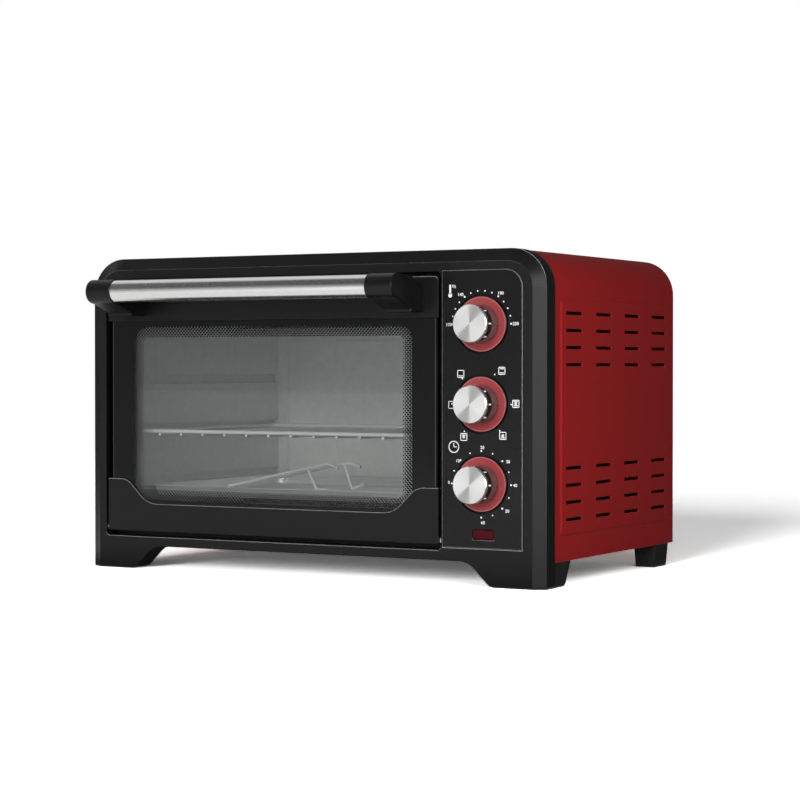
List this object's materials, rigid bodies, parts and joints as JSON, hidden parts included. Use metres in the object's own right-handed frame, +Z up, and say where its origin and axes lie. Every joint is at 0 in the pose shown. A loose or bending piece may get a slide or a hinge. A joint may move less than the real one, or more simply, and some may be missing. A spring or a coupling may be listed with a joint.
{
  "type": "electric countertop oven",
  "caption": "Free-standing electric countertop oven with a drop-down glass door, tubular handle, side control panel, wire rack, baking tray and lifting tool.",
  "frame": {"origin": "on the table, under the middle of the overall bounding box", "axes": "+Z up, -Y out of the door (front), +X to the control panel's side (the viewer's right)"},
  "size_m": [0.476, 0.3544, 0.29],
  "materials": {
    "black_moulding": "satin black moulded plastic",
    "black_panel": "gloss black plate with white print",
    "red_enamel": "deep red semi-gloss powder coat",
    "red_ring": "gloss red",
    "red_lens": "dark red translucent lens",
    "polished_knob": "polished",
    "spun_cap": "spun",
    "handle_steel": "brushed along the tube",
    "door_glass": "clear with a black printed border",
    "cavity_steel": "dull aluminised",
    "zinc_steel": "zinc plated",
    "rack_chrome": "bright wire",
    "tray_enamel": "black enamel",
    "heater_steel": "dull dark tube",
    "ceramic": "white steatite",
    "foot_plastic": "matt black",
    "control_plastic": "tan moulding",
    "screw_steel": "plain",
    "brass_bell": "plain"
  },
  "bodies": {
    "cabinet": {"front_frame": "black_moulding", "control_panel": "black_panel", "outer_shell": "red_enamel", "back_panel": "red_enamel", "base_plate": "zinc_steel", "cavity_left_wall": "cavity_steel", "cavity_right_wall": "cavity_steel", "cavity_top": "cavity_steel", "cavity_floor": "cavity_steel", "cavity_back": "cavity_steel", "cavity_front_flange": "cavity_steel", "crumb_tray": "cavity_steel", "heater_upper_front": "heater_steel", "heater_upper_rear": "heater_steel", "heater_lower_front": "heater_steel", "heater_lower_rear": "heater_steel", "heater_insulators": "ceramic", "temperature_ring": "red_ring", "function_ring": "red_ring", "timer_ring": "red_ring", "indicator_lens": "red_lens", "indicator_lamp": "ceramic", "control_bracket": "zinc_steel", "thermostat_body": "ceramic", "function_switch_body": "control_plastic", "timer_body": "zinc_steel", "timer_bell": "brass_bell", "terminal_block": "control_plastic", "fan_motor": "zinc_steel", "front_foot_left": "foot_plastic", "front_foot_right": "foot_plastic", "rear_foot_left": "foot_plastic", "rear_foot_right": "foot_plastic", "cord_gland": "foot_plastic", "hinge_bracket_left": "zinc_steel", "hinge_bracket_right": "zinc_steel", "case_screws": "screw_steel", "wall_spacers": "foot_plastic"},
    "door": {"door_glass": "door_glass", "door_top_cover": "black_moulding", "door_lower_cover": "black_moulding", "handle_bar": "handle_steel", "handle_bracket_left": "black_moulding", "handle_bracket_right": "black_moulding", "door_hinge_pins": "screw_steel", "handle_screws": "screw_steel"},
    "temperature_knob_body": {"temperature_knob": "polished_knob", "temperature_knob_cap": "spun_cap", "temperature_shaft": "screw_steel"},
    "function_knob_body": {"function_knob": "polished_knob", "function_knob_cap": "spun_cap", "function_shaft": "screw_steel"},
    "timer_knob_body": {"timer_knob": "polished_knob", "timer_knob_cap": "spun_cap", "timer_shaft": "screw_steel"},
    "rack": {"wire_rack": "rack_chrome"},
    "tray": {"baking_tray": "tray_enamel", "tray_tool": "rack_chrome"},
    "fan": {"fan_blade": "cavity_steel"}
  },
  "joints": [
    {"name": "door_hinge", "type": "hinge", "parent": "cabinet", "child": "door", "pos_m": [-0.0402, -0.11575, 0.0382], "axis": [1, 0, 0], "range_deg": [0, 80], "stiffness_Nm_per_rad": 0.5, "springref_deg": -28.65},
    {"name": "temperature_turn", "type": "hinge", "parent": "cabinet", "child": "temperature_knob_body", "pos_m": [0.179, -0.13175, 0.2253], "axis": [0, 1, 0], "range_deg": [0, 180]},
    {"name": "function_turn", "type": "hinge", "parent": "cabinet", "child": "function_knob_body", "pos_m": [0.179, -0.13175, 0.1568], "axis": [0, 1, 0], "range_deg": [0, 300]},
    {"name": "timer_turn", "type": "hinge", "parent": "cabinet", "child": "timer_knob_body", "pos_m": [0.179, -0.13175, 0.0883], "axis": [0, 1, 0], "range_deg": [0, 270]},
    {"name": "rack_slide", "type": "slide", "parent": "cabinet", "child": "rack", "axis": [0, -1, 0], "range_m": [0, 0.12]},
    {"name": "tray_slide", "type": "slide", "parent": "cabinet", "child": "tray", "axis": [0, -1, 0], "range_m": [0, 0.032]},
    {"name": "fan_spin", "type": "hinge", "parent": "cabinet", "child": "fan", "pos_m": [0.13, 0.05325, 0.15], "axis": [1, 0, 0], "continuous": true}
  ],
  "couplings": [
    {"joint": "rack_slide", "follows": "door_hinge", "m_per_rad": 0.085},
    {"joint": "tray_slide", "follows": "door_hinge", "m_per_rad": 0.022}
  ]
}
